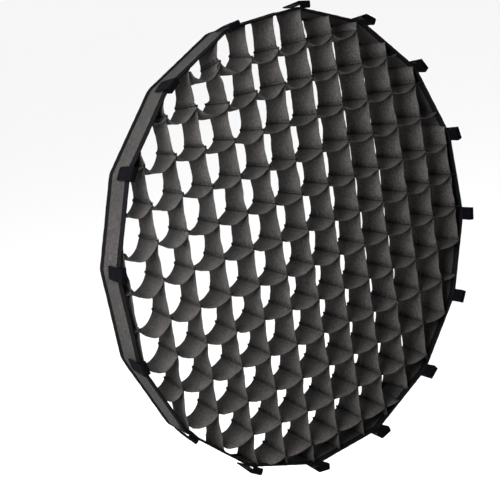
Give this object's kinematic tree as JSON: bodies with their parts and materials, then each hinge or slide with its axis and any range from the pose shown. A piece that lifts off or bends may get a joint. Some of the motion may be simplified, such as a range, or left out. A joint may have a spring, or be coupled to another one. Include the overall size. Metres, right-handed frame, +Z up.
{
  "type": "softbox grid",
  "caption": "Collapsible black fabric egg-crate light-control grid with a sixteen-sided bound rim and webbing tabs that fold over a softbox's lip.",
  "frame": {"origin": "middle of the rim, in the plane of the front hem's edge", "axes": "+Z up as used, -Y out of the open face towards the subject, +Y back into the softbox, +X to the right seen from the front"},
  "size_m": [0.8952, 0.0918, 0.8952],
  "materials": {
    "cloth": "matt black plain-weave polyester with a faint speckle",
    "binding": "black woven binding tape, folded and stitched",
    "webbing": "black ribbed webbing, slightly glossy",
    "hook_tape": "black hook tape with fine stiff hooks"
  },
  "bodies": {
    "root": {"vertical_strip_01": "cloth", "vertical_strip_02": "cloth", "vertical_strip_03": "cloth", "vertical_strip_04": "cloth", "vertical_strip_05": "cloth", "vertical_strip_06": "cloth", "vertical_strip_07": "cloth", "vertical_strip_08": "cloth", "vertical_strip_09": "cloth", "vertical_strip_10": "cloth", "vertical_strip_11": "cloth", "vertical_strip_12": "cloth", "vertical_strip_13": "cloth", "horizontal_strip_01": "cloth", "horizontal_strip_02": "cloth", "horizontal_strip_03": "cloth", "horizontal_strip_04": "cloth", "horizontal_strip_05": "cloth", "horizontal_strip_06": "cloth", "horizontal_strip_07": "cloth", "horizontal_strip_08": "cloth", "horizontal_strip_09": "cloth", "horizontal_strip_10": "cloth", "horizontal_strip_11": "cloth", "horizontal_strip_12": "cloth", "rim_wall": "cloth", "front_hem": "binding", "back_hem": "binding"},
    "tab_01": {"tab_01_strap": "webbing", "tab_01_hook_patch": "hook_tape"},
    "tab_02": {"tab_02_strap": "webbing", "tab_02_hook_patch": "hook_tape"},
    "tab_03": {"tab_03_strap": "webbing", "tab_03_hook_patch": "hook_tape"},
    "tab_04": {"tab_04_strap": "webbing", "tab_04_hook_patch": "hook_tape"},
    "tab_05": {"tab_05_strap": "webbing", "tab_05_hook_patch": "hook_tape"},
    "tab_06": {"tab_06_strap": "webbing", "tab_06_hook_patch": "hook_tape"},
    "tab_07": {"tab_07_strap": "webbing", "tab_07_hook_patch": "hook_tape"},
    "tab_08": {"tab_08_strap": "webbing", "tab_08_hook_patch": "hook_tape"},
    "tab_09": {"tab_09_strap": "webbing", "tab_09_hook_patch": "hook_tape"},
    "tab_10": {"tab_10_strap": "webbing", "tab_10_hook_patch": "hook_tape"},
    "tab_11": {"tab_11_strap": "webbing", "tab_11_hook_patch": "hook_tape"},
    "tab_12": {"tab_12_strap": "webbing", "tab_12_hook_patch": "hook_tape"},
    "tab_13": {"tab_13_strap": "webbing", "tab_13_hook_patch": "hook_tape"},
    "tab_14": {"tab_14_strap": "webbing", "tab_14_hook_patch": "hook_tape"},
    "tab_15": {"tab_15_strap": "webbing", "tab_15_hook_patch": "hook_tape"},
    "tab_16": {"tab_16_strap": "webbing", "tab_16_hook_patch": "hook_tape"}
  },
  "joints": [
    {"name": "tab_01_fold", "type": "hinge", "parent": "root", "child": "tab_01", "pos_m": [0.43678, -0.0181, 0.11093], "axis": [0.2462, 0, -0.9692], "range_deg": [0, 170]},
    {"name": "tab_02_fold", "type": "hinge", "parent": "root", "child": "tab_02", "pos_m": [0.36108, -0.0181, 0.26964], "axis": [0.5983, 0, -0.8013], "range_deg": [0, 170]},
    {"name": "tab_03_fold", "type": "hinge", "parent": "root", "child": "tab_03", "pos_m": [0.23041, -0.0181, 0.38729], "axis": [0.8594, 0, -0.5113], "range_deg": [0, 170]},
    {"name": "tab_04_fold", "type": "hinge", "parent": "root", "child": "tab_04", "pos_m": [0.06467, -0.0181, 0.44599], "axis": [0.9897, 0, -0.1435], "range_deg": [0, 170]},
    {"name": "tab_05_fold", "type": "hinge", "parent": "root", "child": "tab_05", "pos_m": [-0.11093, -0.0181, 0.43678], "axis": [0.9692, 0, 0.2462], "range_deg": [0, 170]},
    {"name": "tab_06_fold", "type": "hinge", "parent": "root", "child": "tab_06", "pos_m": [-0.26964, -0.0181, 0.36108], "axis": [0.8013, 0, 0.5983], "range_deg": [0, 170]},
    {"name": "tab_07_fold", "type": "hinge", "parent": "root", "child": "tab_07", "pos_m": [-0.38729, -0.0181, 0.23041], "axis": [0.5113, 0, 0.8594], "range_deg": [0, 170]},
    {"name": "tab_08_fold", "type": "hinge", "parent": "root", "child": "tab_08", "pos_m": [-0.44599, -0.0181, 0.06467], "axis": [0.1435, 0, 0.9897], "range_deg": [0, 170]},
    {"name": "tab_09_fold", "type": "hinge", "parent": "root", "child": "tab_09", "pos_m": [-0.43678, -0.0181, -0.11093], "axis": [-0.2462, 0, 0.9692], "range_deg": [0, 170]},
    {"name": "tab_10_fold", "type": "hinge", "parent": "root", "child": "tab_10", "pos_m": [-0.36108, -0.0181, -0.26964], "axis": [-0.5983, 0, 0.8013], "range_deg": [0, 170]},
    {"name": "tab_11_fold", "type": "hinge", "parent": "root", "child": "tab_11", "pos_m": [-0.23041, -0.0181, -0.38729], "axis": [-0.8594, 0, 0.5113], "range_deg": [0, 170]},
    {"name": "tab_12_fold", "type": "hinge", "parent": "root", "child": "tab_12", "pos_m": [-0.06467, -0.0181, -0.44599], "axis": [-0.9897, 0, 0.1435], "range_deg": [0, 170]},
    {"name": "tab_13_fold", "type": "hinge", "parent": "root", "child": "tab_13", "pos_m": [0.11093, -0.0181, -0.43678], "axis": [-0.9692, 0, -0.2462], "range_deg": [0, 170]},
    {"name": "tab_14_fold", "type": "hinge", "parent": "root", "child": "tab_14", "pos_m": [0.26964, -0.0181, -0.36108], "axis": [-0.8013, 0, -0.5983], "range_deg": [0, 170]},
    {"name": "tab_15_fold", "type": "hinge", "parent": "root", "child": "tab_15", "pos_m": [0.38729, -0.0181, -0.23041], "axis": [-0.5113, 0, -0.8594], "range_deg": [0, 170]},
    {"name": "tab_16_fold", "type": "hinge", "parent": "root", "child": "tab_16", "pos_m": [0.44599, -0.0181, -0.06467], "axis": [-0.1435, 0, -0.9897], "range_deg": [0, 170]}
  ]
}
